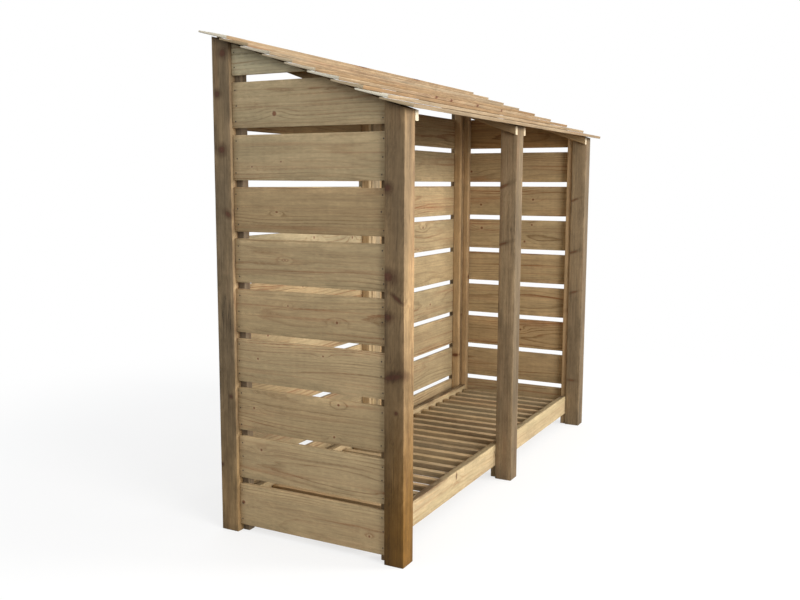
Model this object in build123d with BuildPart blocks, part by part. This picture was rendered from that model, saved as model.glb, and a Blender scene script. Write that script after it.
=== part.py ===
# Open-fronted log store in sawn softwood: two bays, slatted walls, lapped board roof.
# Millimetres. +Z up, X along the store, the open front faces -Y.
# The origin is on the ground, at the middle of the store.
import math
import os

from build123d import *

os.makedirs("parts", exist_ok=True)

# Overall sizes, over the outer faces of the posts
store_length = 2000.0
store_depth = 725.0
front_height = 1445.0
back_height = 1703.0

# Posts and wall battens
post_width = 70.0
end_batten_width = 27.0
end_batten_depth = 32.0
back_batten_width = 22.0
back_batten_depth = 37.0

# Wall boards
board_width = 150.0
board_thickness = 16.0
board_gap = 22.0
board_recess = 13.0
ground_gap = 25.0
board_end_play = 1.0

# Floor
rail_height = 90.0
rail_thickness = 27.0
rail_ground_clearance = 55.0
support_width = 32.0
slat_count = 23
slat_width = 28.0
slat_thickness = 22.0
slat_step_down = 19.0
slat_end_clearance = 5.0
slat_wall_clearance = 54.0
ledger_height = 38.0
ledger_thickness = 22.0

# Roof
rafter_thickness = 22.0
rafter_rise = 34.0
roof_board_count = 9
roof_board_width = 120.0
roof_board_thin_edge = 6.5
roof_board_thick_edge = 12.5
front_overhang = 43.5
back_overhang = 34.0
verge_overhang = 25.0

# Planes that the pieces share
end_x = store_length / 2
front_y = -store_depth / 2
back_y = store_depth / 2
post_inner_x = end_x - post_width
post_front_inner_y = front_y + post_width
post_back_inner_y = back_y - post_width
slope = (back_height - front_height) / store_depth
pitch = math.atan(slope)
end_board_outer_x = end_x - board_recess
end_board_inner_x = end_board_outer_x - board_thickness
end_batten_inner_x = end_board_inner_x - end_batten_depth
back_board_outer_y = back_y - board_recess
back_board_inner_y = back_board_outer_y - board_thickness
board_pitch = board_width + board_gap


def roof_height(y):
    """Height of the sloping plane that the posts, rafters and end walls are cut to."""
    return front_height + (y - front_y) * slope


def box_between(low, high):
    """A plain timber between two opposite corners, added to the current part."""
    size = [high[i] - low[i] for i in range(3)]
    with BuildSketch(Plane(low)) as section:
        Rectangle(size[0], size[1], align=(Align.MIN, Align.MIN))
    extrude(section.sketch, amount=size[2])


def cut_to_slope(drop=0.0):
    """Saw off whatever stands above the roof plane, or above a plane a plumb drop below it."""
    over = store_length
    reach = store_depth
    with BuildSketch(Plane.YZ.offset(-over)) as above_roof:
        with BuildLine():
            Polyline(
                (front_y - reach, roof_height(front_y - reach) - drop),
                (back_y + reach, roof_height(back_y + reach) - drop),
                (back_y + reach, roof_height(back_y + reach) + back_height),
                (front_y - reach, roof_height(back_y + reach) + back_height),
                close=True,
            )
        make_face()
    extrude(above_roof.sketch, amount=2 * over, mode=Mode.SUBTRACT)


def finish_part(part, name):
    """Label a piece and write it to its own file."""
    part.label = name
    export_step(part, f"parts/{name}.step")


# Posts, sawn to the roof slope at the top
post_left_edges = {"left": -end_x, "middle": -post_width / 2, "right": post_inner_x}
for side, x in post_left_edges.items():
    with BuildPart() as front_post:
        box_between((x, front_y, 0), (x + post_width, post_front_inner_y, back_height))
        cut_to_slope()
    finish_part(front_post.part, f"front_{side}_post")
    with BuildPart() as back_post:
        box_between((x, post_back_inner_y, 0), (x + post_width, back_y, 2 * back_height))
        cut_to_slope()
    finish_part(back_post.part, f"back_{side}_post")

# End wall battens, against the posts, behind the ends of the boards
for side, sign in (("left", -1), ("right", 1)):
    x_low = min(sign * end_board_inner_x, sign * end_batten_inner_x)
    x_high = x_low + end_batten_depth
    with BuildPart() as front_batten:
        box_between(
            (x_low, post_front_inner_y, 0),
            (x_high, post_front_inner_y + end_batten_width, back_height),
        )
        cut_to_slope()
    finish_part(front_batten.part, f"{side}_end_front_batten")
    with BuildPart() as back_batten:
        box_between(
            (x_low, post_back_inner_y - end_batten_width, 0),
            (x_high, post_back_inner_y, 2 * back_height),
        )
        cut_to_slope()
    finish_part(back_batten.part, f"{side}_end_back_batten")

# Back wall battens, one on each side of each bay, up to the underside of the rafters
back_batten_y = back_board_inner_y - back_batten_depth
back_batten_edges = {
    "left": -post_inner_x,
    "middle_left": -post_width / 2 - back_batten_width,
    "middle_right": post_width / 2,
    "right": post_inner_x - back_batten_width,
}
for place, x in back_batten_edges.items():
    with BuildPart() as wall_batten:
        box_between(
            (x, back_batten_y, 0),
            (x + back_batten_width, back_board_inner_y, 2 * back_height),
        )
        cut_to_slope(rafter_rise)
    finish_part(wall_batten.part, f"back_{place}_batten")

# End walls: boards laid edge up between the posts, the top ones sawn to the slope
end_board_y = post_back_inner_y - board_end_play
end_board_count = 1 + int((roof_height(end_board_y) - ground_gap) // board_pitch)
for side, x in (("left", -end_board_outer_x), ("right", end_board_inner_x)):
    with BuildPart() as end_boards:
        for row in range(end_board_count):
            z = ground_gap + row * board_pitch
            box_between((x, -end_board_y, z), (x + board_thickness, end_board_y, z + board_width))
        cut_to_slope()
    finish_part(end_boards.part, f"{side}_end_boards")

# Back wall: two bays of boards between the posts, open under the roof
bay_board_inner_x = post_width / 2 + board_end_play
bay_board_outer_x = post_inner_x - board_end_play
rafter_underside = roof_height(back_board_inner_y) - rafter_rise
back_board_count = 1 + int((rafter_underside - ground_gap - board_width) // board_pitch)
for side, x in (("left", -bay_board_outer_x), ("right", bay_board_inner_x)):
    with BuildPart() as back_boards:
        for row in range(back_board_count):
            z = ground_gap + row * board_pitch
            box_between(
                (x, back_board_inner_y, z),
                (x + bay_board_outer_x - bay_board_inner_x, back_board_outer_y, z + board_width),
            )
    finish_part(back_boards.part, f"back_boards_{side}")

# Floor rails, nailed to the inner faces of the posts between the end battens
rail_top = rail_ground_clearance + rail_height
with BuildPart() as front_rail:
    box_between(
        (-end_batten_inner_x, post_front_inner_y, rail_ground_clearance),
        (end_batten_inner_x, post_front_inner_y + rail_thickness, rail_top),
    )
finish_part(front_rail.part, "front_rail")
with BuildPart() as back_rail:
    box_between(
        (-end_batten_inner_x, post_back_inner_y - rail_thickness, rail_ground_clearance),
        (end_batten_inner_x, post_back_inner_y, rail_top),
    )
finish_part(back_rail.part, "back_rail")

# Short blocks that carry the middle of each rail
with BuildPart() as front_rail_support:
    box_between(
        (-support_width / 2, post_front_inner_y, 0),
        (support_width / 2, post_front_inner_y + rail_thickness, rail_ground_clearance),
    )
finish_part(front_rail_support.part, "front_rail_support")
with BuildPart() as back_rail_support:
    box_between(
        (-support_width / 2, post_back_inner_y - rail_thickness, 0),
        (support_width / 2, post_back_inner_y, rail_ground_clearance),
    )
finish_part(back_rail_support.part, "back_rail_support")

# Ledgers along the inside of the rails, and the slats that lie on them
slat_top = rail_top - slat_step_down
slat_bottom = slat_top - slat_thickness
rail_inner_y = post_back_inner_y - rail_thickness
with BuildPart() as front_floor_ledger:
    box_between(
        (-end_batten_inner_x, -rail_inner_y, slat_bottom - ledger_height),
        (end_batten_inner_x, -rail_inner_y + ledger_thickness, slat_bottom),
    )
finish_part(front_floor_ledger.part, "front_floor_ledger")
with BuildPart() as back_floor_ledger:
    box_between(
        (-end_batten_inner_x, rail_inner_y - ledger_thickness, slat_bottom - ledger_height),
        (end_batten_inner_x, rail_inner_y, slat_bottom),
    )
finish_part(back_floor_ledger.part, "back_floor_ledger")

first_slat_x = -end_board_inner_x + slat_wall_clearance
slat_pitch = (-2 * first_slat_x - slat_width) / (slat_count - 1)
slat_end_y = rail_inner_y - slat_end_clearance
with BuildPart() as floor_slats:
    for slat in range(slat_count):
        x = first_slat_x + slat * slat_pitch
        box_between((x, -slat_end_y, slat_bottom), (x + slat_width, slat_end_y, slat_top))
finish_part(floor_slats.part, "floor_slats")

# Rafters against the posts, flush with their tops, their ends sawn plumb. They run on
# past the back posts to carry the upper edge of the top board
roof_back_y = back_y + back_overhang
rafter_edges = {
    "left": -post_inner_x,
    "middle_left": -post_width / 2 - rafter_thickness,
    "middle_right": post_width / 2,
    "right": post_inner_x - rafter_thickness,
}
for place, x in rafter_edges.items():
    with BuildPart() as rafter:
        with BuildSketch(Plane.YZ.offset(x)):
            with BuildLine():
                Polyline(
                    (front_y, front_height - rafter_rise),
                    (roof_back_y, roof_height(roof_back_y) - rafter_rise),
                    (roof_back_y, roof_height(roof_back_y)),
                    (front_y, front_height),
                    close=True,
                )
            make_face()
        extrude(amount=rafter_thickness)
    finish_part(rafter.part, f"{place}_rafter")

# Roof boards, back to front, sawn thinner towards the upper edge. Each lies on the rafters
# at its upper edge and on the next board at its lower edge, so all have the same small tilt
# off the rafters
roof_run = store_depth + front_overhang + back_overhang
board_taper = (roof_board_thick_edge - roof_board_thin_edge) / roof_board_width
lap_tilt = 0.0
for _ in range(12):
    board_fall = pitch - lap_tilt
    last_board_run = roof_board_width * math.cos(board_fall) + roof_board_thick_edge * math.sin(board_fall)
    exposure = (roof_run - last_board_run) / ((roof_board_count - 1) * math.cos(pitch))
    lap = roof_board_width - exposure * math.cos(lap_tilt)
    lap_tilt = math.asin((roof_board_thin_edge + lap * board_taper) / exposure)
board_fall = pitch - lap_tilt
roof_board_x = end_x + verge_overhang
for number in range(roof_board_count):
    upper_y = roof_back_y - number * exposure * math.cos(pitch)
    # Local X runs down the board, local Y out through its upper face
    board_plane = Plane(
        origin=(roof_board_x, upper_y, roof_height(upper_y)),
        x_dir=(0, -math.cos(board_fall), -math.sin(board_fall)),
        z_dir=(-1, 0, 0),
    )
    with BuildPart() as roof_board:
        with BuildSketch(board_plane):
            with BuildLine():
                Polyline(
                    (0, 0),
                    (roof_board_width, 0),
                    (roof_board_width, roof_board_thick_edge),
                    (0, roof_board_thin_edge),
                    close=True,
                )
            make_face()
        extrude(amount=2 * roof_board_x)
    finish_part(roof_board.part, f"roof_board_{number + 1}")
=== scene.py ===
import math
from collections import namedtuple

import bmesh
import bpy
import numpy as np
from mathutils import Matrix, Vector
from mathutils.bvhtree import BVHTree


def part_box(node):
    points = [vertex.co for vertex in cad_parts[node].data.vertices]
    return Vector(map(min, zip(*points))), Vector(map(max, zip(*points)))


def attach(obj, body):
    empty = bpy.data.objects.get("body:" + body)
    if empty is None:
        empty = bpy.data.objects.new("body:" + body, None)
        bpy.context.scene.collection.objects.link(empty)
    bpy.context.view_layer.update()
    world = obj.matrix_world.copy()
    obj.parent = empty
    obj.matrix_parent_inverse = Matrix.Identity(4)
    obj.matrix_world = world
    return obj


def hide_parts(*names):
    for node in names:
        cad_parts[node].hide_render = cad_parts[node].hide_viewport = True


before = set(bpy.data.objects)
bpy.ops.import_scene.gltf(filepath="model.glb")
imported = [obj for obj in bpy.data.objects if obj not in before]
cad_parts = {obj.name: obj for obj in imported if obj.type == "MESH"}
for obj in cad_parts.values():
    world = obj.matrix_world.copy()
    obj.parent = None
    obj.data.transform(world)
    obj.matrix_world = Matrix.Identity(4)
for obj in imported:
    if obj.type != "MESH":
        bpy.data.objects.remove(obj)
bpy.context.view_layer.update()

# An open log store in sawn, pressure-treated softwood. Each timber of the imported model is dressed
# as a sawn one: eased arrises, a saw that wandered a little, knots, rings and its own colour.
# Metres throughout. +Z is up and the open front faces -Y.

MILLIMETRE = 0.001

# Camera, worked out from the corners of the store in the photograph
PICTURE_WIDTH = 800
FOCAL_LENGTH_PIXELS = 891.9
SENSOR_WIDTH = 36.0
CAMERA_PLACE = (-3.4072, -1.6090, 1.2219)
CAMERA_HEADING = 1.0883
CAMERA_TILT = -0.1303
CAMERA_ROLL = 0.0034

# How the timbers were sawn
ARRIS = 1.6 * MILLIMETRE
SHOULDER_WEAR = 0.6
STATION = 28 * MILLIMETRE
FLAT_DIVISIONS = 4
SAW_WANDER = 0.7 * MILLIMETRE
ARRIS_WEAR = 1.1 * MILLIMETRE
SHARP_ANGLE = math.radians(50)

# What counts as one point, as one flat face, as beside the grain, as square to another face, and as
# a square end
ONE_POINT = 0.01 * MILLIMETRE
ONE_FLAT = math.radians(0.5)
BESIDE = 0.01
SQUARE = 0.001
SQUARE_END = 0.9999

# How timbers differ where nothing is listed for them
WARMTH_VARIETY = 0.5
END_VARIETY = 0.15
SEED_STEP = 17
SEEDS_PER_NODE = 30

# Knots
KNOTS_PER_TIMBER = 6
THIN_TIMBER = 30 * MILLIMETRE
ON_BROAD_SIDE = 0.95
RIGHT_THROUGH = 1.0
FAR_AWAY = 100.0
KNOT_SPREAD = 0.48
SMALLEST_KNOT = 3 * MILLIMETRE
KNOT_RANGE = 6 * MILLIMETRE
KNOT_STRETCHES = (1.0, 1.0, 1.3, 2.2)
KNOT_LEAN = 0.3

# Nail heads
NAIL_HEAD_SIDES = 12
NAIL_HEAD_TAPER = 0.72

# Noise patterns: features to the metre along the grain, across it and through it, then the detail,
# the roughness, and for patches the values at which they begin and are full
Pattern = namedtuple("Pattern", "features detail roughness begin full", defaults=(2.0, 0.5, 0.0, 1.0))
SAW_WANDERINGS = Pattern((5, 14, 14), 1.0)
CHIPS = Pattern((24, 60, 60), 3.0, 0.65)
KNOT_OUTLINES = Pattern((60, 90, 90))
RING_RIPPLES = Pattern((5, 45, 45), 3.0)
RED_PATCHES = Pattern((1.2, 24, 24), 2.0, 0.5, 0.46, 0.6)
RED_LINES = Pattern((0.9, 85, 85), 2.0, 0.5, 0.54, 0.62)
STAINS = Pattern((1.6, 10, 10), 3.0, 0.5, 0.36, 0.66)
FIBRES = Pattern((9, 700, 700), 3.0, 0.6)
STREAKS = Pattern((3, 170, 170), 4.0, 0.7)
CLOUDS = Pattern((9, 26, 26), 4.0, 0.65)
FLECKS = Pattern((45, 210, 210))
SAW_BANDS = Pattern((80, 2, 2))
SAW_SWAY = Pattern((8, 8, 8))
CRACK_LINES = Pattern((1.1, 50, 50))
CRACKED_PARTS = Pattern((2.2, 9, 9), 2.0, 0.5, 0.5, 0.6)
WANEY_PARTS = Pattern((4, 22, 22), 4.0, 0.6, 0.46, 0.58)
PORES = Pattern((300, 300, 300), 3.0)
NAIL_PATCHES = Pattern((400, 400, 400), 2.0, 0.5, 0.35, 0.65)

# Patterns that run from ring to ring, with the distance along the grain second
RING_SPACINGS = Pattern((0.7, 0.0, 1.0), 1.0)
RING_STRENGTHS = Pattern((0.5, 1.4, 1.0), 2.0, 0.5, 0.34, 0.68)

# How far apart in a pattern two timbers may lie, so that no two are alike
PATTERN_DRIFT = 9.0

# The heart of the tree, measured from a timber's middle, and the rings about it. Late wood is a
# part of each ring's width
HEART_SPREAD = 0.14
HEART_DEPTH = 0.055
HEART_DEPTH_RANGE = 0.07
HEART_BENDS = Pattern((1.7, 0.0, 0.0), 1.0)
HEART_BEND = (0.0, 0.05, 0.035)
TRUNK_TAPER = 0.006
RIPPLE_HEIGHT = 0.007
FAINTEST_RING = 0.1
LATE_WOOD_BEGINS = (0.55, 0.9)
LATE_WOOD_ENDS = (0.93, 1.0)

# The grain parts round a knot in a long eye. Distances about a knot are in its own radii
KNOT_EYE = (0.4, 1.0, 1.0)
KNOT_EYE_FADE = -0.11
KNOT_SWELL = 1.5
KNOT_WOBBLE = 0.8
KNOT_EDGE = (0.6, 1.15)
KNOT_RIM = 0.95
KNOT_RINGS = 11.0
KNOT_RING_CONTRAST = 0.1
KNOT_SHADE = 0.97
KNOT_POLISH = -0.14
RIM_WIDTH = 0.3
RIM_AMOUNT = 0.3
RIM_SHADE = 0.5
HALO_REACH = (2.0, 4.2)
HALO_RAGGEDNESS = 2.4

# How strongly the rest shows in the colour
RED_PATCH = 0.07
RED_LINE = 0.4
RED_RING = 0.65
FIBRE_CONTRAST = 0.36
FLECK_CONTRAST = 0.45
SAW_BAND_CONTRAST = 0.14
# Arrises are paler in patches: partly wear, partly a painted highlight
WORN_AND_HIGHLIT_PATCHES = (0.42, 0.62)
WORN_AND_HIGHLIT_AMOUNT = 0.35
# Cracks are darkened with painted shade
CRACK_WIDTH = 0.014
PAINTED_SHADE_IN_CRACKS = -0.6
WANE_REACH = (-0.98, -0.62)
DAMP_HEIGHTS = (0.3, 1.3)
DAMP_RAGGEDNESS = 0.5
DAMP_TINT = (0.9, 1.06, 1.35)
WARM_TINT = (0.04, -0.05, -0.15)
LEAST_TINT = (0.2, 0.2, 0.2)
ONES = (1.0, 1.0, 1.0)
END_RING_CONTRAST = 0.4
END_TINT = (0.0, 0.35, 0.8)
PORE_CONTRAST = 0.4

# The feel of the surface. Saw marks are in radians to the metre
WOOD_ROUGHNESS = 0.64
FIBRE_ROUGHNESS = 0.22
WOOD_GLOSS = 0.25
BUMP_STRENGTH = 0.6
BUMP_DEPTH = 0.7 * MILLIMETRE
FIBRE_RELIEF = 0.7
RING_RELIEF = 0.35
SAW_MARKS = 1300.0
SAW_MARK_SWAY = 40.0
SAW_MARK_RELIEF = 0.06
CRACK_RELIEF = -1.2
NAIL_ROUGHNESS = (0.8, 0.5)
NAIL_METALLIC = 0.2

# The colours and amounts of a finish, and what it has unless its own amounts say otherwise
COLOURS = ("Pale Wood", "Dark Grain", "Red Grain", "Knot", "Round Knots", "Stain", "End Grain")
AMOUNTS = ("Ring Width", "Figure", "Streaks", "Clouds", "Stain Amount", "Halo", "Edge Shade", "Wane",
           "Cracks", "Dark Foot")
USUAL_AMOUNTS = {"halo": 0.5, "edge_shade": 1.0, "wane": 0.0, "dark_foot": 0.0}

Timber = namedtuple("Timber", "placement size section count step cuts")
Knot = namedtuple("Knot", "along height radius stretch lean", defaults=(1.0, 0.0))


# Reading the timbers of a node out of the frame


def loose_solids(node):
    """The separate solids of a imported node, in row order: their corners, flat faces and grain."""
    mesh = bmesh.new()
    mesh.from_mesh(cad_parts[node].data)
    bmesh.ops.remove_doubles(mesh, verts=mesh.verts, dist=ONE_POINT)
    bmesh.ops.dissolve_limit(mesh, angle_limit=ONE_FLAT, verts=mesh.verts, edges=mesh.edges)
    solids = []
    seen = set()
    for first in mesh.verts:
        if first in seen:
            continue
        island = [first]
        seen.add(first)
        for vert in island:
            for edge in vert.link_edges:
                other = edge.other_vert(vert)
                if other not in seen:
                    seen.add(other)
                    island.append(other)
        faces = {face.index: face for vert in island for face in vert.link_faces}
        edges = [edge for vert in island for edge in vert.link_edges]
        longest = max(edges, key=lambda edge: round(edge.calc_length(), 5))
        solids.append({
            "corners": [vert.co.copy() for vert in island],
            "planes": [(face.normal.copy(), face.verts[0].co.copy(), face.calc_area())
                       for face in faces.values()],
            "grain": upward(longest.verts[1].co - longest.verts[0].co),
        })
    mesh.free()
    return sorted(solids, key=lambda solid: sum(map(sum, solid["corners"])) / len(solid["corners"]))


def upward(direction):
    """A unit direction, turned round if it points down, or back along the axes."""
    unit = direction.normalized()
    return unit if sum(unit) > 0 else -unit


def broad_side(planes, grain):
    """The direction out of a timber's broad side, which is square to one of its edges."""
    beside = [plane for plane in planes if abs(plane[0].dot(grain)) < BESIDE]
    square = [plane for plane in beside
              if any(abs(plane[0].dot(other[0])) < SQUARE for other in beside)]
    broadest = max(square, key=lambda plane: (round(plane[2], 5), round(sum(plane[0]), 3)))
    return upward(broadest[0])


def extreme(corners, pick):
    """The least or the greatest coordinates of some corners."""
    return Vector([pick(corner[axis] for corner in corners) for axis in range(3)])


def measure(node):
    """How a node's timbers lie: grain along local X, width along Y and thickness along Z."""
    solids = loose_solids(node)
    first = solids[0]
    through = broad_side(first["planes"], first["grain"])
    turn = Matrix((first["grain"], through.cross(first["grain"]), through))
    local = [turn @ corner for corner in first["corners"]]
    low = extreme(local, min)
    high = extreme(local, max)
    middle = (low + high) / 2
    placement = Matrix.Translation(turn.transposed() @ middle) @ turn.transposed().to_4x4()
    near = [corner.z - middle.z for corner in local if corner.y < middle.y]
    far = [corner.z - middle.z for corner in local if corner.y > middle.y]
    reach = (high.y - low.y) / 2
    section = [(-reach, min(near)), (reach, min(far)), (reach, max(far)), (-reach, max(near))]
    step = Vector((0, 0, 0))
    if len(solids) > 1:
        step = extreme([turn @ corner for corner in solids[1]["corners"]], min) - low
    cuts = {}
    for solid in solids:
        for normal, point, _ in solid["planes"]:
            if BESIDE <= abs(normal.dot(first["grain"])) < SQUARE_END:
                cuts[tuple(round(part, 3) for part in (*normal, normal.dot(point)))] = (normal, point)
    cuts = [cuts[key] for key in sorted(cuts)]
    return Timber(placement, high - low, section, len(solids), step, cuts)


# Building node trees


def add(tree, kind, inputs=(), **settings):
    """A node of that kind, with its settings made and its inputs set or linked.

    Inputs are by name or number. A node as a value stands for its first output.
    """
    node = tree.nodes.new(kind)
    for name, value in settings.items():
        setattr(node, name, value)
    for name, value in dict(inputs).items():
        if isinstance(value, bpy.types.Node):
            value = value.outputs[0]
        if isinstance(value, bpy.types.NodeSocket):
            tree.links.new(value, node.inputs[name])
        else:
            node.inputs[name].default_value = value
    return node


def maths(tree, operation, *values):
    """The result of a Math node."""
    return add(tree, "ShaderNodeMath", dict(enumerate(values)), operation=operation).outputs[0]


def product(tree, first, second):
    """One number times another."""
    return maths(tree, "MULTIPLY", first, second)


def vectors(tree, operation, *values):
    """The result of a Vector Math node: its number for a length."""
    node = add(tree, "ShaderNodeVectorMath", dict(enumerate(values)), operation=operation)
    return node.outputs["Value" if operation == "LENGTH" else "Vector"]


def scaled(tree, vector, factor):
    """A vector or colour times a number."""
    inputs = {0: vector, "Scale": factor}
    return add(tree, "ShaderNodeVectorMath", inputs, operation="SCALE").outputs["Vector"]


def noise(tree, place, pattern, output="Fac"):
    """A noise pattern at a place, 0 to 1, or three of them as a colour."""
    return add(tree, "ShaderNodeTexNoise", {
        "Vector": vectors(tree, "MULTIPLY", place, pattern.features), "Scale": 1.0,
        "Detail": pattern.detail, "Roughness": pattern.roughness}).outputs[output]


def between(tree, value, low, high, to_low=0.0, to_high=1.0):
    """A value carried smoothly from one range to another, and held at its ends."""
    ranges = {"Value": value, "From Min": low, "From Max": high, "To Min": to_low, "To Max": to_high}
    return add(tree, "ShaderNodeMapRange", ranges, interpolation_type="SMOOTHSTEP").outputs[0]


def patches(tree, place, pattern, outside=0.0):
    """A noise pattern made into patches: 1 in them, and by default 0 outside."""
    return between(tree, noise(tree, place, pattern), pattern.begin, pattern.full, outside, 1.0)


def varied(tree, value, pattern, contrast):
    """A value made higher and lower by a pattern of 0 to 1."""
    return maths(tree, "MULTIPLY_ADD", maths(tree, "SUBTRACT", pattern, 0.5), contrast, value)


def drawn(tree, number):
    """Three numbers drawn by chance for a number, as a colour."""
    return add(tree, "ShaderNodeTexWhiteNoise", {"W": number}, noise_dimensions="1D").outputs["Color"]


def parts(tree, vector):
    """The three parts of a vector."""
    return add(tree, "ShaderNodeSeparateXYZ", {"Vector": vector}).outputs


def mix(tree, factor, first, second):
    """Two colours mixed."""
    return add(tree, "ShaderNodeMix", {0: factor, 6: first, 7: second}, data_type="RGBA").outputs[2]


def new_sockets(tree, inputs, outputs):
    """Gives a tree its inputs and outputs, as names and kinds, and returns its two ends."""
    for name, kind in inputs:
        tree.interface.new_socket(name, in_out="INPUT", socket_type="NodeSocket" + kind)
    for name, kind in outputs:
        tree.interface.new_socket(name, in_out="OUTPUT", socket_type="NodeSocket" + kind)
    return tree.nodes.new("NodeGroupInput").outputs, tree.nodes.new("NodeGroupOutput").inputs


# Sawn timbers


def eased_outline(section):
    """A four-cornered section with its arrises eased, as (y, z, wear, broad side) points."""
    corners = [Vector(corner) for corner in section]
    outline = []
    for side in range(4):
        start, end, after = corners[side], corners[(side + 1) % 4], corners[(side + 2) % 4]
        along = (end - start).normalized()
        onward = (after - end).normalized()
        broad = 1.0 if side % 2 == 0 else 0.0
        for step in np.linspace(0, 1, FLAT_DIVISIONS + 1):
            point = (start + along * ARRIS).lerp(end - along * ARRIS, step)
            outline.append((point.x, point.y, SHOULDER_WEAR if step in (0, 1) else 0.0, broad))
        corner = end + (onward - along) * ARRIS * (1 - math.sin(math.pi / 4))
        outline.append((corner.x, corner.y, 1.0, 0.5))
    return outline


def timber_blank(size, section):
    """One straight timber with eased arrises, its grain along X, as a mesh about the origin."""
    outline = eased_outline(section)
    inner_end = (size.x - ARRIS) / 2
    inner = np.linspace(-inner_end, inner_end, max(2, round(size.x / STATION)))
    stations = [-size.x / 2, *inner, size.x / 2]
    verts = []
    marks = []
    for x in stations:
        eased = ARRIS / 3 if abs(x) > inner_end + ARRIS / 4 else 0.0
        for y, z, wear, broad in outline:
            verts.append((x, y * (1 - 2 * eased / size.y), z * (1 - 2 * eased / size.z)))
            marks.append((wear, broad, 2 * y / size.y))
    around = len(outline)
    faces = []
    for ring in range(len(stations) - 1):
        low = ring * around
        high = low + around
        for point in range(around):
            beside = (point + 1) % around
            faces.append((low + point, low + beside, high + beside, high + point))
    last = (len(stations) - 1) * around
    faces.append(tuple(reversed(range(around))))
    faces.append(tuple(range(last, last + around)))
    mesh = bpy.data.meshes.new("timber_blank")
    mesh.from_pydata(verts, [], faces)
    checked = bmesh.new()
    checked.from_mesh(mesh)
    bmesh.ops.recalc_face_normals(checked, faces=checked.faces)
    checked.to_mesh(mesh)
    checked.free()
    store(mesh, "grain", verts, "FLOAT_VECTOR")
    for name, values in zip(("arris", "broad", "across"), zip(*marks)):
        store(mesh, name, values)
    store(mesh, "sawn_end", [0.0] * (len(faces) - 2) + [1.0, 1.0], domain="FACE")
    return mesh


def store(mesh, name, values, data_type="FLOAT", domain="POINT"):
    """Stores an attribute on a mesh."""
    key = "vector" if data_type == "FLOAT_VECTOR" else "value"
    data = mesh.attributes.new(name, data_type, domain).data
    data.foreach_set(key, np.asarray(values, np.float32).ravel())


def stored(tree, name, data_type="FLOAT"):
    """A stored attribute, read in a geometry tree."""
    return add(tree, "GeometryNodeInputNamedAttribute", {"Name": name}, data_type=data_type)


def timber_row_tree():
    """Lays a timber out in a row, and lets the saw wander over each."""
    tree = bpy.data.node_groups.new("timber_row", "GeometryNodeTree")
    given, result = new_sockets(tree, [
        ("Timber", "Geometry"), ("Count", "Int"), ("Step", "Vector"), ("Saw Wander", "Float"),
        ("Arris Wear", "Float"), ("Seed", "Int"), ("Finish", "Material"),
    ], [("Timbers", "Geometry")])
    row = {"Count": given["Count"], "Offset": given["Step"]}
    line = add(tree, "GeometryNodeMeshLine", row, mode="OFFSET")
    placed = add(tree, "GeometryNodeInstanceOnPoints", {"Points": line, "Instance": given["Timber"]})
    number = maths(tree, "ADD", add(tree, "GeometryNodeInputIndex"), given["Seed"])
    named = add(tree, "GeometryNodeStoreNamedAttribute",
                {"Geometry": placed, "Name": "timber", "Value": number},
                data_type="FLOAT", domain="INSTANCE")
    real = add(tree, "GeometryNodeRealizeInstances", {"Geometry": named})

    drift = scaled(tree, drawn(tree, stored(tree, "timber")), PATTERN_DRIFT)
    place = vectors(tree, "ADD", stored(tree, "grain", "FLOAT_VECTOR"), drift)
    wander = product(tree, noise(tree, place, SAW_WANDERINGS), given["Saw Wander"])
    chips = maths(tree, "POWER", noise(tree, place, CHIPS), 2.0)
    chips = product(tree, chips, stored(tree, "arris"))
    worn = product(tree, chips, given["Arris Wear"])
    outward = add(tree, "GeometryNodeInputNormal")
    offset = scaled(tree, outward, product(tree, maths(tree, "ADD", wander, worn), -1.0))
    moved = add(tree, "GeometryNodeSetPosition", {"Geometry": real, "Offset": offset})
    finished = add(tree, "GeometryNodeSetMaterial", {"Geometry": moved, "Material": given["Finish"]})
    tree.links.new(finished.outputs[0], result["Timbers"])
    return tree


def nail_head_tree():
    """Puts a nail head on each point of a mesh, a little off its mark along the face."""
    tree = bpy.data.node_groups.new("nail_heads", "GeometryNodeTree")
    given, result = new_sockets(tree, [
        ("Places", "Geometry"), ("Head Radius", "Float"), ("Head Height", "Float"),
        ("Off The Mark", "Float"), ("Seed", "Int"), ("Finish", "Material"),
    ], [("Nails", "Geometry")])
    head = add(tree, "GeometryNodeMeshCone", {
        "Vertices": NAIL_HEAD_SIDES, "Side Segments": 1, "Fill Segments": 1,
        "Radius Top": product(tree, given["Head Radius"], NAIL_HEAD_TAPER),
        "Radius Bottom": given["Head Radius"], "Depth": given["Head Height"],
    })
    facing = stored(tree, "facing", "FLOAT_VECTOR")
    turned = add(tree, "FunctionNodeAlignRotationToVector", {"Vector": facing}, axis="Z")
    reach = scaled(tree, ONES, given["Off The Mark"])
    reaches = {"Min": scaled(tree, reach, -1.0), "Max": reach, "Seed": given["Seed"]}
    missed = add(tree, "FunctionNodeRandomValue", reaches, data_type="FLOAT_VECTOR")
    along_face = vectors(tree, "SUBTRACT", missed, vectors(tree, "PROJECT", missed, facing))
    marked = add(tree, "GeometryNodeSetPosition",
                 {"Geometry": given["Places"], "Offset": along_face})
    heads = add(tree, "GeometryNodeInstanceOnPoints",
                {"Points": marked, "Instance": head, "Rotation": turned})
    real = add(tree, "GeometryNodeRealizeInstances", {"Geometry": heads})
    finished = add(tree, "GeometryNodeSetMaterial", {"Geometry": real, "Material": given["Finish"]})
    tree.links.new(finished.outputs[0], result["Nails"])
    return tree


def new_object(name, data):
    """A new object in the scene."""
    thing = bpy.data.objects.new(name, data)
    bpy.context.scene.collection.objects.link(thing)
    return thing


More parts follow.
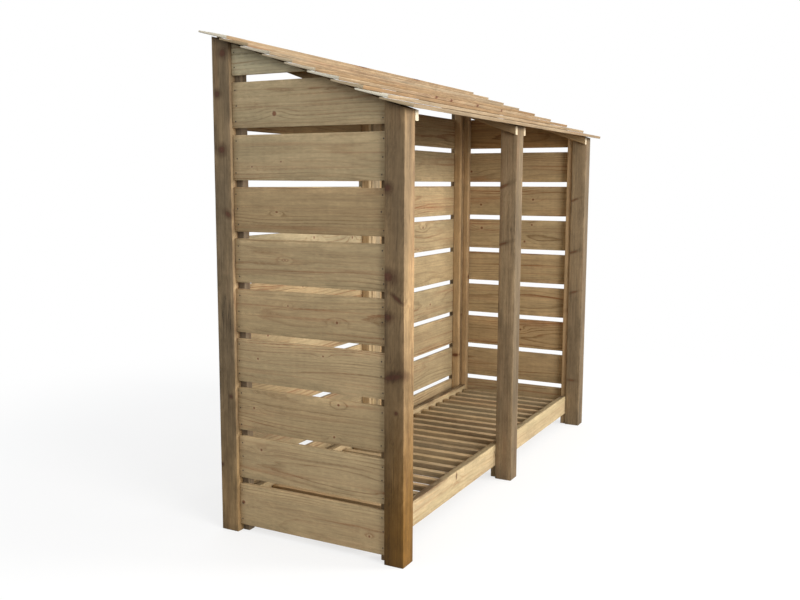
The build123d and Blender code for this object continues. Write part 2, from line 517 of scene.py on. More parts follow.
def grown(name, mesh, tree, **inputs):
    """A new object whose plain mesh is what a geometry tree makes of another mesh."""
    seedling = new_object(name, mesh)
    modifier = seedling.modifiers.new("tree", "NODES")
    modifier.node_group = tree
    for socket in tree.interface.items_tree:
        key = socket.name.replace(" ", "_").lower()
        if socket.in_out == "INPUT" and key in inputs:
            modifier[socket.identifier] = inputs[key]
    evaluated = seedling.evaluated_get(bpy.context.evaluated_depsgraph_get())
    result = bpy.data.meshes.new_from_object(evaluated)
    seedling.modifiers.remove(modifier)
    seedling.data = result
    result.name = name
    bpy.data.meshes.remove(mesh)
    return seedling


def saw_off(mesh, cuts, grain):
    """Saws a mesh along the cut planes of its node and closes the new ends."""
    sawn = bmesh.new()
    sawn.from_mesh(mesh)
    end_mark = sawn.faces.layers.float["sawn_end"]
    for normal, point in cuts:
        everything = sawn.verts[:] + sawn.edges[:] + sawn.faces[:]
        bmesh.ops.bisect_plane(sawn, geom=everything, plane_co=point, plane_no=normal, clear_outer=True,
                               dist=ONE_POINT / 10)
        open_edges = [edge for edge in sawn.edges if edge.is_boundary]
        closed = bmesh.ops.holes_fill(sawn, edges=open_edges, sides=0)
        for face in closed["faces"]:
            face[end_mark] = 1.0 if abs(normal.dot(grain)) > 0.5 else 0.0
    bmesh.ops.recalc_face_normals(sawn, faces=sawn.faces)
    sawn.to_mesh(mesh)
    sawn.free()


def knots_by_eye(node, timber):
    """The knots listed for a node, sorted by the timber of its row that they are on."""
    sorted_knots = {}
    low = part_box(node)[0]
    unplace = timber.placement.inverted()
    half = timber.size / 2
    for knot in [Knot(*listed) for listed in KNOTS.get(node, [])]:
        along = knot.along * MILLIMETRE
        height = knot.height * MILLIMETRE
        if node in ROOF_BOARDS:
            spot = Vector((along, low[1], low[2] + height))
        elif node.startswith("back_boards"):
            spot = Vector((along, low[1], height))
        else:
            spot = Vector((low[0], along, height))
        places = [unplace @ spot - timber.step * number for number in range(timber.count)]
        inside = [Vector([max(-half[axis], min(half[axis], place[axis])) for axis in range(3)])
                  for place in places]
        number = min(range(timber.count), key=lambda number: (places[number] - inside[number]).length)
        found = (inside[number], knot.radius * MILLIMETRE, knot.stretch, knot.lean)
        sorted_knots.setdefault(number, []).append(found)
    return sorted_knots


def knots_by_chance(timber, dice, knottiness):
    """A few knots anywhere on the sides of one timber."""
    knots = []
    for _ in range(min(KNOTS_PER_TIMBER, int(dice.poisson(knottiness * timber.size.x)))):
        along, across, through = dice.uniform(-KNOT_SPREAD, KNOT_SPREAD, 3)
        if timber.size.z < THIN_TIMBER or dice.random() < 0.5:
            through = math.copysign(0.5, through)
        else:
            across = math.copysign(0.5, across)
        place = Vector((along, across, through)) * timber.size
        radius = SMALLEST_KNOT + KNOT_RANGE * dice.random() ** 2
        knots.append((place, radius, dice.choice(KNOT_STRETCHES), dice.uniform(-KNOT_LEAN, KNOT_LEAN)))
    return knots


def give_character(mesh, node, timber, seed, variety, knottiness):
    """Gives each timber its shade, warmth and knots; some listed shades are painted light and shade.

    Each point stores how many knot radii away each knot is, and in which direction.
    """
    count = len(mesh.vertices)
    place = np.empty(count * 3, np.float32)
    mesh.attributes["grain"].data.foreach_get("vector", place)
    place = place.reshape(-1, 3)
    numbers = np.empty(count, np.float32)
    mesh.attributes["timber"].data.foreach_get("value", numbers)
    tones = np.zeros((3, count), np.float32)
    away = np.full((KNOTS_PER_TIMBER, count, 3), FAR_AWAY, np.float32)
    listed = knots_by_eye(node, timber)
    for number in range(timber.count):
        own = numbers == number + seed
        dice = np.random.default_rng(number * SEED_STEP + seed)
        tone = dice.normal(0, variety), dice.normal(0, WARMTH_VARIETY), dice.normal(0, END_VARIETY)
        chance = knots_by_chance(timber, dice, knottiness)
        if node in TONES:
            tone = (*TONES[node][number], 0.0)[:3]
        tones[:, own] = np.array(tone).reshape(3, 1)
        knots = listed.get(number, []) if node in KNOTS else chance
        for slot, (centre, radius, stretch, lean) in enumerate(knots[:KNOTS_PER_TIMBER]):
            reach = np.array((radius, radius * stretch, radius * stretch))
            if timber.size.z < THIN_TIMBER and abs(centre.y) < ON_BROAD_SIDE * timber.size.y / 2:
                reach[2] = RIGHT_THROUGH
            offset = place[own] - np.array(centre)
            offset[:, 0] -= lean * (offset[:, 1] + offset[:, 2])
            away[slot, own] = offset / reach
    for name, values in zip(("shade", "warmth", "end_shade"), tones):
        store(mesh, name, values)
    for slot in range(KNOTS_PER_TIMBER):
        store(mesh, f"knot_{slot + 1}", away[slot], "FLOAT_VECTOR")


# Finishes


def srgb(*shades):
    """A colour as seen on a screen, 0 to 255, in the linear values that shaders use."""
    shades = [shade / 255 for shade in shades]
    return (*[shade / 12.92 if shade <= 0.04045 else ((shade + 0.055) / 1.055) ** 2.4
              for shade in shades], 1.0)


def carried(tree, name, output="Fac"):
    """A value that each point of the timber carries."""
    return add(tree, "ShaderNodeAttribute", attribute_name=name).outputs[output]


def object_place(tree):
    """The place on the object."""
    return add(tree, "ShaderNodeTexCoord").outputs["Object"]


def near_knots(tree, place):
    """How far the nearest knot is, in its radii, and how much all knots push the rings aside."""
    nearest = FAR_AWAY
    swell = 0.0
    for slot in range(KNOTS_PER_TIMBER):
        offset = carried(tree, f"knot_{slot + 1}", "Vector")
        away = vectors(tree, "LENGTH", offset)
        eye = vectors(tree, "LENGTH", vectors(tree, "MULTIPLY", offset, KNOT_EYE))
        eye = maths(tree, "POWER", eye, 2.0)
        pushed = maths(tree, "EXPONENT", product(tree, eye, KNOT_EYE_FADE))
        swell = maths(tree, "ADD", swell, pushed)
        nearest = maths(tree, "MINIMUM", nearest, away)
    return varied(tree, nearest, noise(tree, place, KNOT_OUTLINES), KNOT_WOBBLE), swell


def annual_rings(tree, grain, place, timber, swell, ring_width):
    """Late wood, 0 to 1, in rings about the heart of the tree, which wanders behind the broad side.

    The second result is the late wood with some rings fainter than others.
    """
    draws = add(tree, "ShaderNodeSeparateColor", {"Color": drawn(tree, timber)}).outputs
    along, across, through = parts(tree, grain)
    bend = vectors(tree, "SUBTRACT", noise(tree, place, HEART_BENDS, "Color"), (0.5, 0.5, 0.5))
    bent = parts(tree, vectors(tree, "MULTIPLY", bend, HEART_BEND))
    heart_across = maths(tree, "MULTIPLY_ADD", draws[0], HEART_SPREAD, -HEART_SPREAD / 2)
    heart_behind = maths(tree, "MULTIPLY_ADD", draws[1], HEART_DEPTH_RANGE, HEART_DEPTH)
    sideways = maths(tree, "ADD", maths(tree, "SUBTRACT", across, heart_across), bent[1])
    behind = maths(tree, "ADD", maths(tree, "ADD", through, heart_behind), bent[2])
    squares = [maths(tree, "POWER", away, 2.0) for away in (sideways, behind)]
    radius = maths(tree, "SQRT", maths(tree, "ADD", *squares))
    radius = maths(tree, "MULTIPLY_ADD", along, TRUNK_TAPER, radius)
    radius = varied(tree, radius, noise(tree, place, RING_RIPPLES), RIPPLE_HEIGHT)
    rings = maths(tree, "MULTIPLY_ADD", swell, KNOT_SWELL, maths(tree, "DIVIDE", radius, ring_width))
    apart = product(tree, draws[2], PATTERN_DRIFT)
    by_ring = add(tree, "ShaderNodeCombineXYZ", {"X": rings, "Y": along, "Z": apart})
    phase = maths(tree, "FRACT", maths(tree, "ADD", rings, noise(tree, by_ring, RING_SPACINGS)))
    late = product(tree, between(tree, phase, *LATE_WOOD_BEGINS),
                   between(tree, phase, *LATE_WOOD_ENDS, 1.0, 0.0))
    return late, product(tree, late, patches(tree, by_ring, RING_STRENGTHS, FAINTEST_RING))


def softwood_tree():
    """Sawn softwood: rings, fibres, streaks, stain, knots, each timber's shade and warmth, and some
    painted light and shade.
    """
    tree = bpy.data.node_groups.new("softwood", "ShaderNodeTree")
    given, result = new_sockets(
        tree, [(name, "Color") for name in COLOURS] + [(name, "Float") for name in AMOUNTS],
        [("Colour", "Color"), ("Roughness", "Float"), ("Height", "Float")])
    grain = carried(tree, "grain", "Vector")
    timber = carried(tree, "timber")
    place = vectors(tree, "ADD", grain, scaled(tree, drawn(tree, timber), PATTERN_DRIFT))
    to_knot, swell = near_knots(tree, place)
    ring, late = annual_rings(tree, grain, place, timber, swell, given["Ring Width"])

    # Late wood, red in places, and patches of stain
    figure = product(tree, late, given["Figure"])
    colour = mix(tree, figure, given["Pale Wood"], given["Dark Grain"])
    reddened = patches(tree, place, RED_PATCHES)
    red_lines = product(tree, patches(tree, place, RED_LINES), reddened)
    red_rings = product(tree, late, reddened)
    for red, amount in ((reddened, RED_PATCH), (red_lines, RED_LINE), (red_rings, RED_RING)):
        colour = mix(tree, product(tree, red, amount), colour, given["Red Grain"])
    stained = product(tree, patches(tree, place, STAINS), given["Stain Amount"])
    colour = mix(tree, stained, colour, given["Stain"])

    # Fibres, streaks along the grain, clouds, flecks, the teeth of the saw, arrises paler in patches
    # from wear and a painted highlight, and cracks darkened with painted shade
    fibres = noise(tree, place, FIBRES)
    clouds = noise(tree, place, CLOUDS)
    shade = varied(tree, 1.0, fibres, FIBRE_CONTRAST)
    shade = varied(tree, shade, noise(tree, place, STREAKS), given["Streaks"])
    shade = varied(tree, shade, clouds, given["Clouds"])
    shade = varied(tree, shade, noise(tree, place, FLECKS), FLECK_CONTRAST)
    shade = varied(tree, shade, noise(tree, place, SAW_BANDS), SAW_BAND_CONTRAST)
    worn_and_highlit_edge = product(tree, carried(tree, "arris"), between(tree, clouds, *WORN_AND_HIGHLIT_PATCHES))
    # Paler arrises: wear and a painted highlight
    shade = maths(tree, "MULTIPLY_ADD", worn_and_highlit_edge, WORN_AND_HIGHLIT_AMOUNT, shade)
    ridge = maths(tree, "ABSOLUTE", maths(tree, "SUBTRACT", noise(tree, place, CRACK_LINES), 0.5))
    crack = product(tree, between(tree, ridge, 0.0, CRACK_WIDTH, 1.0, 0.0),
                    patches(tree, place, CRACKED_PARTS))
    crack = product(tree, crack, given["Cracks"])
    # Darkens the cracks: painted shade
    shade = maths(tree, "MULTIPLY_ADD", crack, PAINTED_SHADE_IN_CRACKS, shade)

    # Knots are ringed, dark at the rim, with the wood about them a little changed
    ragged = maths(tree, "MULTIPLY_ADD", clouds, HALO_RAGGEDNESS, to_knot)
    about_knot = between(tree, ragged, *HALO_REACH, given["Halo"], 0.0)
    in_knot = between(tree, to_knot, *KNOT_EDGE, 1.0, 0.0)
    from_rim = maths(tree, "ABSOLUTE", maths(tree, "SUBTRACT", to_knot, KNOT_RIM))
    rim = between(tree, from_rim, 0.0, RIM_WIDTH, RIM_AMOUNT, 0.0)
    knot_rings = maths(tree, "SINE", product(tree, to_knot, KNOT_RINGS))
    knot_rings = maths(tree, "MULTIPLY_ADD", knot_rings, KNOT_RING_CONTRAST, KNOT_SHADE)
    colour = mix(tree, about_knot, colour, given["Round Knots"])
    colour = mix(tree, in_knot, colour, scaled(tree, given["Knot"], knot_rings))
    colour = mix(tree, rim, colour, scaled(tree, given["Knot"], RIM_SHADE))

    # Bark left along one arris
    waney = product(tree, between(tree, carried(tree, "across"), *WANE_REACH, 1.0, 0.0),
                    patches(tree, place, WANEY_PARTS))
    colour = mix(tree, product(tree, waney, given["Wane"]), colour, given["Knot"])

    # Edges are scaled against the broad sides: partly the wood's own colour, partly painted shade,
    # and on the front posts painted light. The wood is browner towards the foot
    edge_tone_and_painted_shading = maths(tree, "MULTIPLY_ADD", carried(tree, "broad"),
                    maths(tree, "SUBTRACT", 1.0, given["Edge Shade"]), given["Edge Shade"])
    height_up = parts(tree, object_place(tree))[2]
    ragged = maths(tree, "MULTIPLY_ADD", clouds, DAMP_RAGGEDNESS, height_up)
    damp = between(tree, ragged, *DAMP_HEIGHTS, given["Dark Foot"], 0.0)
    dry = vectors(tree, "SUBTRACT", ONES, scaled(tree, DAMP_TINT, damp))
    colour = vectors(tree, "MULTIPLY", colour, dry)
    shade = product(tree, shade, edge_tone_and_painted_shading)
    shade = product(tree, shade, maths(tree, "ADD", carried(tree, "shade"), 1.0))
    tint = vectors(tree, "ADD", scaled(tree, WARM_TINT, carried(tree, "warmth")), ONES)
    tint = vectors(tree, "MAXIMUM", tint, LEAST_TINT)
    colour = scaled(tree, vectors(tree, "MULTIPLY", colour, tint), shade)

    # Cross-cut ends
    end_rings = product(tree, ring, END_RING_CONTRAST)
    end_colour = mix(tree, end_rings, given["End Grain"], given["Dark Grain"])
    pores = varied(tree, 1.0, noise(tree, place, PORES), PORE_CONTRAST)
    end_shade = product(tree, pores, maths(tree, "ADD", carried(tree, "end_shade"), 1.0))
    end_tint = scaled(tree, END_TINT, carried(tree, "end_shade"))
    end_tint = vectors(tree, "ADD", end_tint, ONES)
    end_colour = scaled(tree, vectors(tree, "MULTIPLY", end_colour, end_tint), end_shade)
    colour = mix(tree, carried(tree, "sawn_end"), colour, end_colour)
    tree.links.new(colour, result["Colour"])

    # Fibres are rough and knots smoother. Fibres, rings, saw marks and cracks stand up or lie deeper
    rough = maths(tree, "MULTIPLY_ADD", fibres, FIBRE_ROUGHNESS, WOOD_ROUGHNESS)
    tree.links.new(maths(tree, "MULTIPLY_ADD", in_knot, KNOT_POLISH, rough), result["Roughness"])
    saw_marks = maths(tree, "MULTIPLY_ADD", noise(tree, place, SAW_SWAY), SAW_MARK_SWAY,
                      product(tree, parts(tree, grain)[0], SAW_MARKS))
    relief = maths(tree, "MULTIPLY_ADD", fibres, FIBRE_RELIEF, product(tree, late, RING_RELIEF))
    relief = maths(tree, "MULTIPLY_ADD", maths(tree, "SINE", saw_marks), SAW_MARK_RELIEF, relief)
    tree.links.new(maths(tree, "MULTIPLY_ADD", crack, CRACK_RELIEF, relief), result["Height"])
    return tree


def new_material(name):
    """A material with an empty node tree, and the tree."""
    material = bpy.data.materials.new(name)
    material.use_nodes = True
    material.node_tree.nodes.clear()
    return material, material.node_tree


def timber_finish(name, colours, **amounts):
    """A material of sawn softwood, its colours as seen on a screen and in the order of COLOURS."""
    material, tree = new_material(name)
    wood = add(tree, "ShaderNodeGroup", node_tree=SOFTWOOD)
    for key, colour in zip(COLOURS, colours):
        wood.inputs[key].default_value = srgb(*colour)
    for key, amount in {**USUAL_AMOUNTS, **amounts}.items():
        wood.inputs[key.replace("_", " ").title()].default_value = amount
    bump = add(tree, "ShaderNodeBump", {
        "Height": wood.outputs["Height"], "Strength": BUMP_STRENGTH, "Distance": BUMP_DEPTH})
    surface = add(tree, "ShaderNodeBsdfPrincipled", {
        "Base Color": wood.outputs["Colour"], "Roughness": wood.outputs["Roughness"],
        "Normal": bump, "Specular IOR Level": WOOD_GLOSS})
    add(tree, "ShaderNodeOutputMaterial", {"Surface": surface})
    return material


def nail_finish():
    """Dull galvanised steel, browned by the wood."""
    material, tree = new_material("galvanised_nail")
    browned = patches(tree, object_place(tree), NAIL_PATCHES)
    surface = add(tree, "ShaderNodeBsdfPrincipled", {
        "Base Color": mix(tree, browned, srgb(30, 24, 20), srgb(60, 52, 44)),
        "Roughness": between(tree, browned, 0.0, 1.0, *NAIL_ROUGHNESS), "Metallic": NAIL_METALLIC})
    add(tree, "ShaderNodeOutputMaterial", {"Surface": surface})
    return material


SOFTWOOD = softwood_tree()
TIMBER_ROW = timber_row_tree()
NAIL_HEADS = nail_head_tree()
NAIL = nail_finish()

POST_COLOURS = [
    (184, 159, 121), (132, 104, 74), (134, 86, 57), (108, 73, 54), (104, 80, 60), (134, 117, 93),
    (176, 150, 110)]
# edge_shade darkens the posts' sides against their fronts and backs: partly the wood's own colour,
# partly painted shade
POST_AMOUNTS = dict(
    ring_width=0.0052, figure=0.5, streaks=1.2, clouds=1.3, stain_amount=0.85, halo=0.75,
    edge_shade=0.69, cracks=0.9)
POST = timber_finish("weathered_post", POST_COLOURS, dark_foot=0.32, **POST_AMOUNTS)
CORNER_POST = timber_finish("damp_post", POST_COLOURS, dark_foot=0.66, **POST_AMOUNTS)
# edge_shade above 1 makes the front posts' sides brighter than their fronts: painted light
FRONT_POST = timber_finish("sheltered_post", [
    (140, 121, 94), (102, 83, 60), (114, 78, 54), (104, 74, 53), (104, 86, 66), (116, 101, 80),
    (176, 150, 110)],
    ring_width=0.0046, figure=0.6, streaks=1.5, clouds=1.1, stain_amount=0.8, halo=0.6,
    edge_shade=1.36, cracks=0.9, dark_foot=0.16)
WALL_BOARD = timber_finish("treated_wall_board", [
    (190, 166, 127), (124, 94, 60), (146, 82, 46), (134, 92, 66), (198, 172, 134), (168, 150, 115),
    (186, 160, 120)],
    ring_width=0.0078, figure=0.85, streaks=0.75, clouds=0.5, stain_amount=0.5, cracks=0.25)
ROOF_BOARD = timber_finish("roof_board", [
    (174, 154, 126), (122, 95, 68), (142, 96, 66), (108, 72, 52), (146, 108, 80), (164, 138, 104),
    (242, 230, 204)],
    ring_width=0.0048, figure=0.85, streaks=1.3, clouds=0.7, stain_amount=0.45, cracks=0.3)
# edge_shade darkens the slats' sides, seen in the gaps: painted shade
SLAT = timber_finish("floor_slat", [
    (204, 178, 140), (160, 132, 94), (150, 108, 72), (120, 84, 58), (160, 128, 92), (170, 152, 116),
    (190, 164, 124)],
    ring_width=0.0045, figure=0.55, streaks=0.9, clouds=0.8, stain_amount=0.5, edge_shade=0.72,
    wane=0.3, cracks=0.3)
# edge_shade darkens the rail's top and bottom: painted shade
RAIL = timber_finish("floor_rail", [
    (198, 172, 132), (170, 140, 98), (166, 118, 78), (118, 90, 62), (190, 158, 116),
    (184, 164, 120), (190, 164, 122)],
    ring_width=0.0085, figure=0.55, streaks=0.7, clouds=0.6, stain_amount=0.4, edge_shade=0.68,
    wane=0.9, cracks=0.3)
BATTEN = timber_finish("batten", [
    (182, 154, 116), (140, 110, 74), (140, 98, 66), (108, 70, 46), (142, 108, 76), (158, 138, 104),
    (236, 220, 190)],
    ring_width=0.0042, figure=0.6, streaks=0.9, clouds=0.8, stain_amount=0.4, cracks=0.4,
    dark_foot=0.1)
END_BATTEN = timber_finish("grey_batten", [
    (150, 134, 112), (112, 94, 74), (112, 82, 60), (92, 66, 48), (116, 94, 72), (122, 108, 90),
    (170, 148, 114)],
    ring_width=0.0042, figure=0.6, streaks=1.0, clouds=0.8, stain_amount=0.6, edge_shade=0.85,
    cracks=0.4, dark_foot=0.2)

# The shade and warmth of single timbers, and the shade of some sawn ends, from the first of a row to
# the last. Below 0 is darker, or greener. Some are painted light and shade: the left end's top board
# is lightened against the shade under the roof, as painted light, and is greener too; the right end's
# two top boards are darkened and warmed as painted shade under the roof; the left bay's three lowest
# back boards are darkened as a painted shadow; and the left end's two battens, seen through the gaps,
# are darkened as painted shade
TONES = {
    "left_end_boards": [
        (-0.06, 0.2), (-0.06, 0.1), (-0.08, 0.3), (0.04, 0.0), (-0.01, 0.2), (0.02, 0.0),
        (-0.11, 0.4), (0.06, -0.3), (0.11, -0.5), (0.47, -1.9)],
    "right_end_boards": [
        (-0.2, 0.2), (-0.18, 0.5), (-0.15, 0.8), (-0.04, 0.4), (-0.04, 0.3), (-0.04, 0.0),
        (-0.05, 0.2), (-0.09, 0.3), (-0.38, 2.2), (-0.38, 2.2)],
    "back_boards_left": [
        (-0.28, 0.2), (-0.3, -0.2), (-0.14, 0.1), (-0.04, -0.2), (0.0, 0.1), (0.06, -0.9),
        (0.08, -1.0), (-0.12, 0.2), (-0.36, 1.2)],
    "back_boards_right": [
        (-0.18, 0.0), (-0.16, -0.2), (-0.16, 0.0), (-0.12, -0.3), (-0.06, 0.0), (-0.08, -0.2),
        (0.0, 0.0), (0.02, -0.3), (-0.06, 0.1)],
    "left_end_front_batten": [(-0.5, 0.5)],
    "left_end_back_batten": [(-0.15, 0.3)],
    "front_rail": [(-0.05, -0.5)],
    "back_rail": [(-0.2, -0.3)],
    "back_floor_ledger": [(-0.15, -0.2)],
    "back_right_batten": [(0.12, 0.3)],
    "floor_slats": [(0.06 - 0.01 * slat + 0.06 * math.sin(2.4 * slat), 0.3 * math.sin(1.7 * slat))
                    for slat in range(23)],
    **{f"roof_board_{number}": [tone] for number, tone in enumerate([
        (-0.04, 0.3, 0.1), (0.02, 0.1, -0.42), (-0.04, -0.3), (-0.1, 0.0, -0.25),
        (-0.18, 1.1, -0.12), (-0.04, 0.0, 0.13), (-0.2, 1.1, -0.3), (-0.04, -0.2, 0.13),
        (-0.14, 0.1, -0.36)], 1)},
    "back_left_post": [(0.08, 0.3)],
    "back_middle_post": [(0.2, -0.7)],
    "back_middle_left_batten": [(0.14, -0.7)],
    "front_left_post": [(0.02, 0.9)],
    "front_middle_post": [(-0.08, 0.1)],
    "front_right_post": [(-0.1, 0.0)],
}

# Knots that stand out in the photograph, in millimetres: how far along the store or through it, how
# high, the radius, how far the knot is drawn out across the grain, and how it leans. They are on the
# side that looks to the left, on the back walls and roof boards the side that looks forward. Heights
# on a roof board are above its lowest edge
KNOTS = {
    "left_end_boards": [
        (122, 1444, 8), (215, 1274, 3), (98, 1290, 3), (118, 1126, 5, 0.6), (87, 969, 3),
        (78, 817, 3), (-112, 775, 5), (-58, 660, 4, 0.8), (204, 627, 4), (224, 453, 4),
        (-116, 504, 5), (-99, 394, 4), (196, 308, 5), (277, 108, 7), (-231, 79, 4)],
    "right_end_boards": [
        (261, 1284, 6), (205, 1111, 6), (199, 989, 7), (-81, 1141, 6), (-78, 1012, 5), (-40, 925, 6),
        (-28, 464, 6)],
    "back_boards_right": [(544, 1004, 7), (490, 898, 6), (632, 613, 6)],
    "back_boards_left": [(-516, 822, 6), (-750, 663, 6), (-433, 1007, 6), (-137, 992, 6)],
    "back_left_post": [
        (318, 1646, 11), (344, 1514, 9), (330, 1331, 12, 1.1), (308, 1116, 9, 1.2, 0.4),
        (312, 486, 5), (357, 238, 5)],
    "front_left_post": [
        (-303, 1208, 10, 1.1), (-304, 935, 14, 1.3), (-338, 867, 5, 3.0, 0.7), (-304, 808, 10, 1.3),
        (-325, 620, 9, 3.5, -0.2), (-335, 506, 5)],
    "front_middle_post": [(-300, 1207, 6, 5.0, -0.45), (-305, 980, 5, 5.0, -0.3)],
    "front_right_post": [
        (-305, 1140, 5, 4.5, -0.4), (-310, 883, 5, 4.5, -0.3), (-320, 683, 5, 4.0, -0.3),
        (-320, 232, 5, 3.5)],
    "roof_board_1": [(-141, 12, 36, 0.12), (355, 12, 34, 0.12)],
    "roof_board_6": [(-330, 8, 9, 0.8), (-194, 6, 9, 0.8), (66, 8, 10, 0.8), (339, 6, 8, 0.8)],
}


# Dressing the nodes


def dress(node, finish, seed, variety, knottiness):
    """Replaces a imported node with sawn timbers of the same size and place."""
    timber = measure(node)
    blank = timber_blank(timber.size, timber.section)
    piece = grown(f"{node}_timber", blank, TIMBER_ROW, count=timber.count, step=tuple(timber.step),
                  saw_wander=SAW_WANDER, arris_wear=ARRIS_WEAR, seed=seed, finish=finish)
    give_character(piece.data, node, timber, seed, variety, knottiness)
    piece.data.transform(timber.placement)
    if timber.cuts:
        saw_off(piece.data, timber.cuts, timber.placement.to_3x3() @ Vector((1, 0, 0)))
    piece.data.shade_smooth()
    piece.data.set_sharp_from_angle(angle=SHARP_ANGLE)
    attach(piece, "root")
    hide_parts(node)
    DRESSED[node] = (piece, timber)


BAY_EDGES = ("left", "middle_left", "middle_right", "right")
ROOF_BOARDS = [f"roof_board_{number}" for number in range(1, 10)]
DRESSED = {}

# Finish, slot, first seed, variety of shade, knots in a metre, and nodes
FAMILIES = [
    (CORNER_POST, "posts", 100, 0.06, 2.0, ["front_left_post"]),
    (POST, "posts", 130, 0.06, 2.0, ["back_left_post", "back_middle_post", "back_right_post"]),
    (FRONT_POST, "posts", 200, 0.06, 2.0, ["front_middle_post", "front_right_post"]),
    (END_BATTEN, "framing", 300, 0.08, 1.5, ["left_end_back_batten"]),
    (BATTEN, "framing", 330, 0.08, 1.5,
     ["left_end_front_batten", "right_end_front_batten", "right_end_back_batten"]),
    (BATTEN, "framing", 400, 0.08, 1.5, [f"back_{place}_batten" for place in BAY_EDGES]),
    (WALL_BOARD, "wall_boards", 500, 0.05, 0.8, ["left_end_boards", "right_end_boards"]),
    (WALL_BOARD, "wall_boards", 600, 0.05, 0.8, ["back_boards_left", "back_boards_right"]),
    (RAIL, "framing", 700, 0.04, 0.8, ["front_rail", "back_rail"]),
    (BATTEN, "framing", 720, 0.08, 1.0, ["front_rail_support", "back_rail_support"]),
    (BATTEN, "framing", 740, 0.08, 1.0, ["front_floor_ledger", "back_floor_ledger"]),
    (SLAT, "slats", 800, 0.1, 0.9, ["floor_slats"]),
    (BATTEN, "framing", 900, 0.08, 1.0, [f"{place}_rafter" for place in BAY_EDGES]),
    (ROOF_BOARD, "roof_boards", 1000, 0.06, 1.6, ROOF_BOARDS),
]

for finish, slot, first_seed, variety, knottiness, nodes in FAMILIES:
    for place, node in enumerate(nodes):
        dress(node, finish, first_seed + SEEDS_PER_NODE * place, variety, knottiness)


# Nails


NAIL_HEAD_RADIUS = 3.1 * MILLIMETRE
NAIL_HEAD_HEIGHT = 1.2 * MILLIMETRE
NAIL_PROUD = 0.25 * MILLIMETRE
NAIL_OFF_THE_MARK = 5.0 * MILLIMETRE
NAIL_SEARCH = 10 * MILLIMETRE
BOARD_NAIL_ROWS = (-52 * MILLIMETRE, 0.0, 52 * MILLIMETRE)
ROOF_NAIL_UP = 35 * MILLIMETRE


def middle(node, axis):
    """The middle of a node along an axis."""
    low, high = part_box(node)
    return (low[axis] + high[axis]) / 2


def nail_places(node, outward, lines, rows):
    """Points and directions for nails in every timber of a node, on the side that looks outward.

    lines are distances along the timber from its middle, and rows are distances across it.
    """
    piece, timber = DRESSED[node]
    turn = timber.placement.to_3x3()
    side = 1.0 if (turn.transposed() @ Vector(outward)).z > 0 else -1.0
    facing = turn @ Vector((0, 0, side))
    surface = BVHTree.FromPolygons([vert.co for vert in piece.data.vertices],
                                   [tuple(face.vertices) for face in piece.data.polygons])
    places = []
    for number in range(timber.count):
        for line in lines:
            for row in rows:
                point = Vector((line, row, side * timber.size.z / 2)) + timber.step * number
                above = timber.placement @ point + facing * NAIL_SEARCH
                hit = surface.ray_cast(above, -facing, 2 * NAIL_SEARCH)[0]
                if hit is not None:
                    places.append((hit, facing))
    return places


def nails(name, places, seed):
    """One piece of nail heads at the given places."""
    mesh = bpy.data.meshes.new(name)
    sunk = NAIL_HEAD_HEIGHT - NAIL_PROUD
    mesh.from_pydata([place - facing * sunk for place, facing in places], [], [])
    store(mesh, "facing", [facing for _, facing in places], "FLOAT_VECTOR")
    piece = grown(name, mesh, NAIL_HEADS, head_radius=NAIL_HEAD_RADIUS, head_height=NAIL_HEAD_HEIGHT,
                  off_the_mark=NAIL_OFF_THE_MARK, seed=seed, finish=NAIL)
    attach(piece, "root")


end_line = middle("left_end_back_batten", 1)
bay_line = (middle("back_right_batten", 0) - middle("back_middle_right_batten", 0)) / 2
ledger_line = middle("back_floor_ledger", 1)
rafter_lines = [middle(f"{place}_rafter", 0) for place in BAY_EDGES]
roof_row = ROOF_NAIL_UP - DRESSED["roof_board_1"][1].size.y / 2

# Wall boards are nailed to the battens behind their ends, slats to the ledgers, and roof boards to
# the rafters. Piece, slot, nodes, the way their nails face, lines and rows
NAILED = [
    ("left_end_nails", "wall_boards", ["left_end_boards"], (-1, 0, 0), (-end_line, end_line),
     BOARD_NAIL_ROWS),
    ("right_end_nails", "wall_boards", ["right_end_boards"], (1, 0, 0), (-end_line, end_line),
     BOARD_NAIL_ROWS),
    ("back_wall_nails", "wall_boards", ["back_boards_left", "back_boards_right"], (0, 1, 0),
     (-bay_line, bay_line), BOARD_NAIL_ROWS),
    ("slat_nails", "slats", ["floor_slats"], (0, 0, 1), (-ledger_line, ledger_line), (0.0,)),
    ("roof_nails", "roof_boards", ROOF_BOARDS, (0, 0, 1), rafter_lines, (roof_row,)),
]

for seed, (name, slot, nodes, outward, lines, rows) in enumerate(NAILED, 1):
    places = [place for node in nodes for place in nail_places(node, outward, lines, rows)]
    nails(name, places, seed)


# Camera, floor and light


def set_camera():
    """The camera stands where the photograph was taken from."""
    camera = new_object("camera", bpy.data.cameras.new("camera"))
    camera.data.sensor_width = SENSOR_WIDTH
    camera.data.sensor_fit = "HORIZONTAL"
    camera.data.lens = SENSOR_WIDTH * FOCAL_LENGTH_PIXELS / PICTURE_WIDTH
    camera.matrix_world = (
        Matrix.Translation(CAMERA_PLACE) @ Matrix.Rotation(-CAMERA_HEADING, 4, "Z")
        @ Matrix.Rotation(math.pi / 2 + CAMERA_TILT, 4, "X") @ Matrix.Rotation(CAMERA_ROLL, 4, "Z"))
    bpy.context.scene.camera = camera


def seen_directly(tree):
    """1 for a ray from the camera, a mirror or a pane, 0 for a ray that lights the object."""
    light_path = add(tree, "ShaderNodeLightPath").outputs
    seen = maths(tree, "MAXIMUM", light_path["Is Camera Ray"], light_path["Is Glossy Ray"])
    return maths(tree, "MAXIMUM", seen, light_path["Is Transmission Ray"])


FLOOR_REACH = 30.0
FLOOR_FADE = (1.6, 3.2)
FLOOR_COLOUR = (0.32, 0.32, 0.32, 1.0)
FLOOR_GLOW = 0.69
ROOM_LIGHT = 0.8
ROOM_COLOUR = (0.97, 0.985, 1.0, 1.0)
LAMP_COLOUR = (1.0, 0.97, 0.92)
LAMP_AIM = (0.0, 0.0, 0.8)

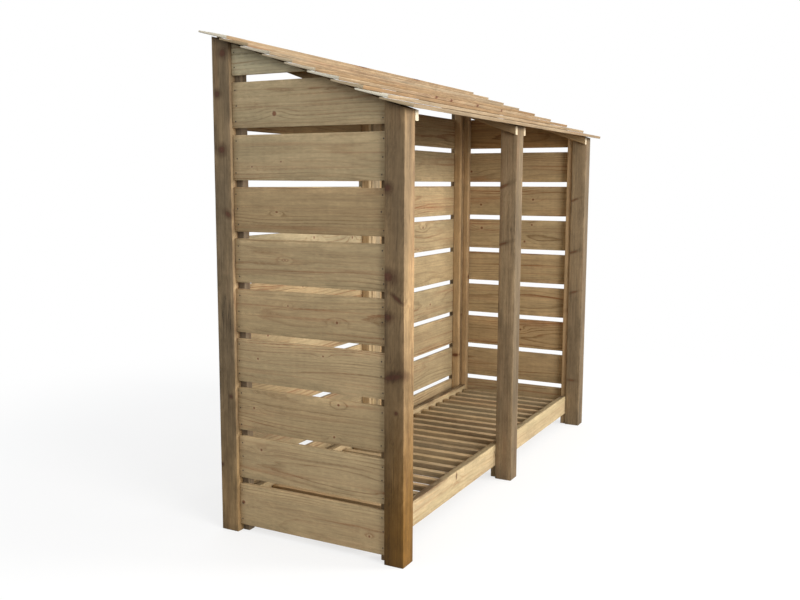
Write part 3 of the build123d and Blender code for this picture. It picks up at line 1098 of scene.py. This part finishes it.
# Name, place, diameter and power of each lamp
LAMPS = [("key_lamp", (1.4, -4.9, 2.4), 1.6, 165), ("fill_lamp", (-2.5, -5.0, 2.0), 3.0, 190)]


def lay_floor():
    """A pale floor that keeps the shadow and fades to white behind the store."""
    material, tree = new_material("studio_floor")
    seen = seen_directly(tree)
    matt = add(tree, "ShaderNodeBsdfDiffuse", {"Color": FLOOR_COLOUR})
    glow = add(tree, "ShaderNodeEmission", {"Strength": product(tree, seen, FLOOR_GLOW)})
    near = add(tree, "ShaderNodeAddShader", {0: matt, 1: glow})
    white = add(tree, "ShaderNodeEmission", {"Strength": seen})
    fade = between(tree, vectors(tree, "LENGTH", object_place(tree)), *FLOOR_FADE)
    both = add(tree, "ShaderNodeMixShader", {0: fade, 1: near, 2: white})
    add(tree, "ShaderNodeOutputMaterial", {"Surface": both})
    mesh = bpy.data.meshes.new("studio_floor")
    corners = [(-1, -1), (1, -1), (1, 1), (-1, 1)]
    mesh.from_pydata([(x * FLOOR_REACH, y * FLOOR_REACH, 0.0) for x, y in corners], [], [(0, 1, 2, 3)])
    mesh.materials.append(material)
    new_object("studio_floor", mesh)


def light_studio():
    """A white room, and two large soft lamps in front of the store, one each side."""
    world = bpy.data.worlds.new("studio")
    world.use_nodes = True
    bpy.context.scene.world = world
    tree = world.node_tree
    tree.nodes.clear()
    room = add(tree, "ShaderNodeBackground", {"Color": ROOM_COLOUR, "Strength": ROOM_LIGHT})
    backdrop = add(tree, "ShaderNodeBackground", {"Color": (1.0, 1.0, 1.0, 1.0), "Strength": 1.0})
    both = add(tree, "ShaderNodeMixShader", {0: seen_directly(tree), 1: room, 2: backdrop})
    add(tree, "ShaderNodeOutputWorld", {"Surface": both})
    for name, place, diameter, power in LAMPS:
        lamp = new_object(name, bpy.data.lights.new(name, "AREA"))
        lamp.data.shape = "DISK"
        lamp.data.size = diameter
        lamp.data.energy = power
        lamp.data.color = LAMP_COLOUR
        lamp.location = place
        lamp.rotation_euler = (Vector(LAMP_AIM) - Vector(place)).to_track_quat("-Z", "Y").to_euler()


set_camera()
lay_floor()
light_studio()
bpy.context.scene.view_settings.view_transform = "Standard"
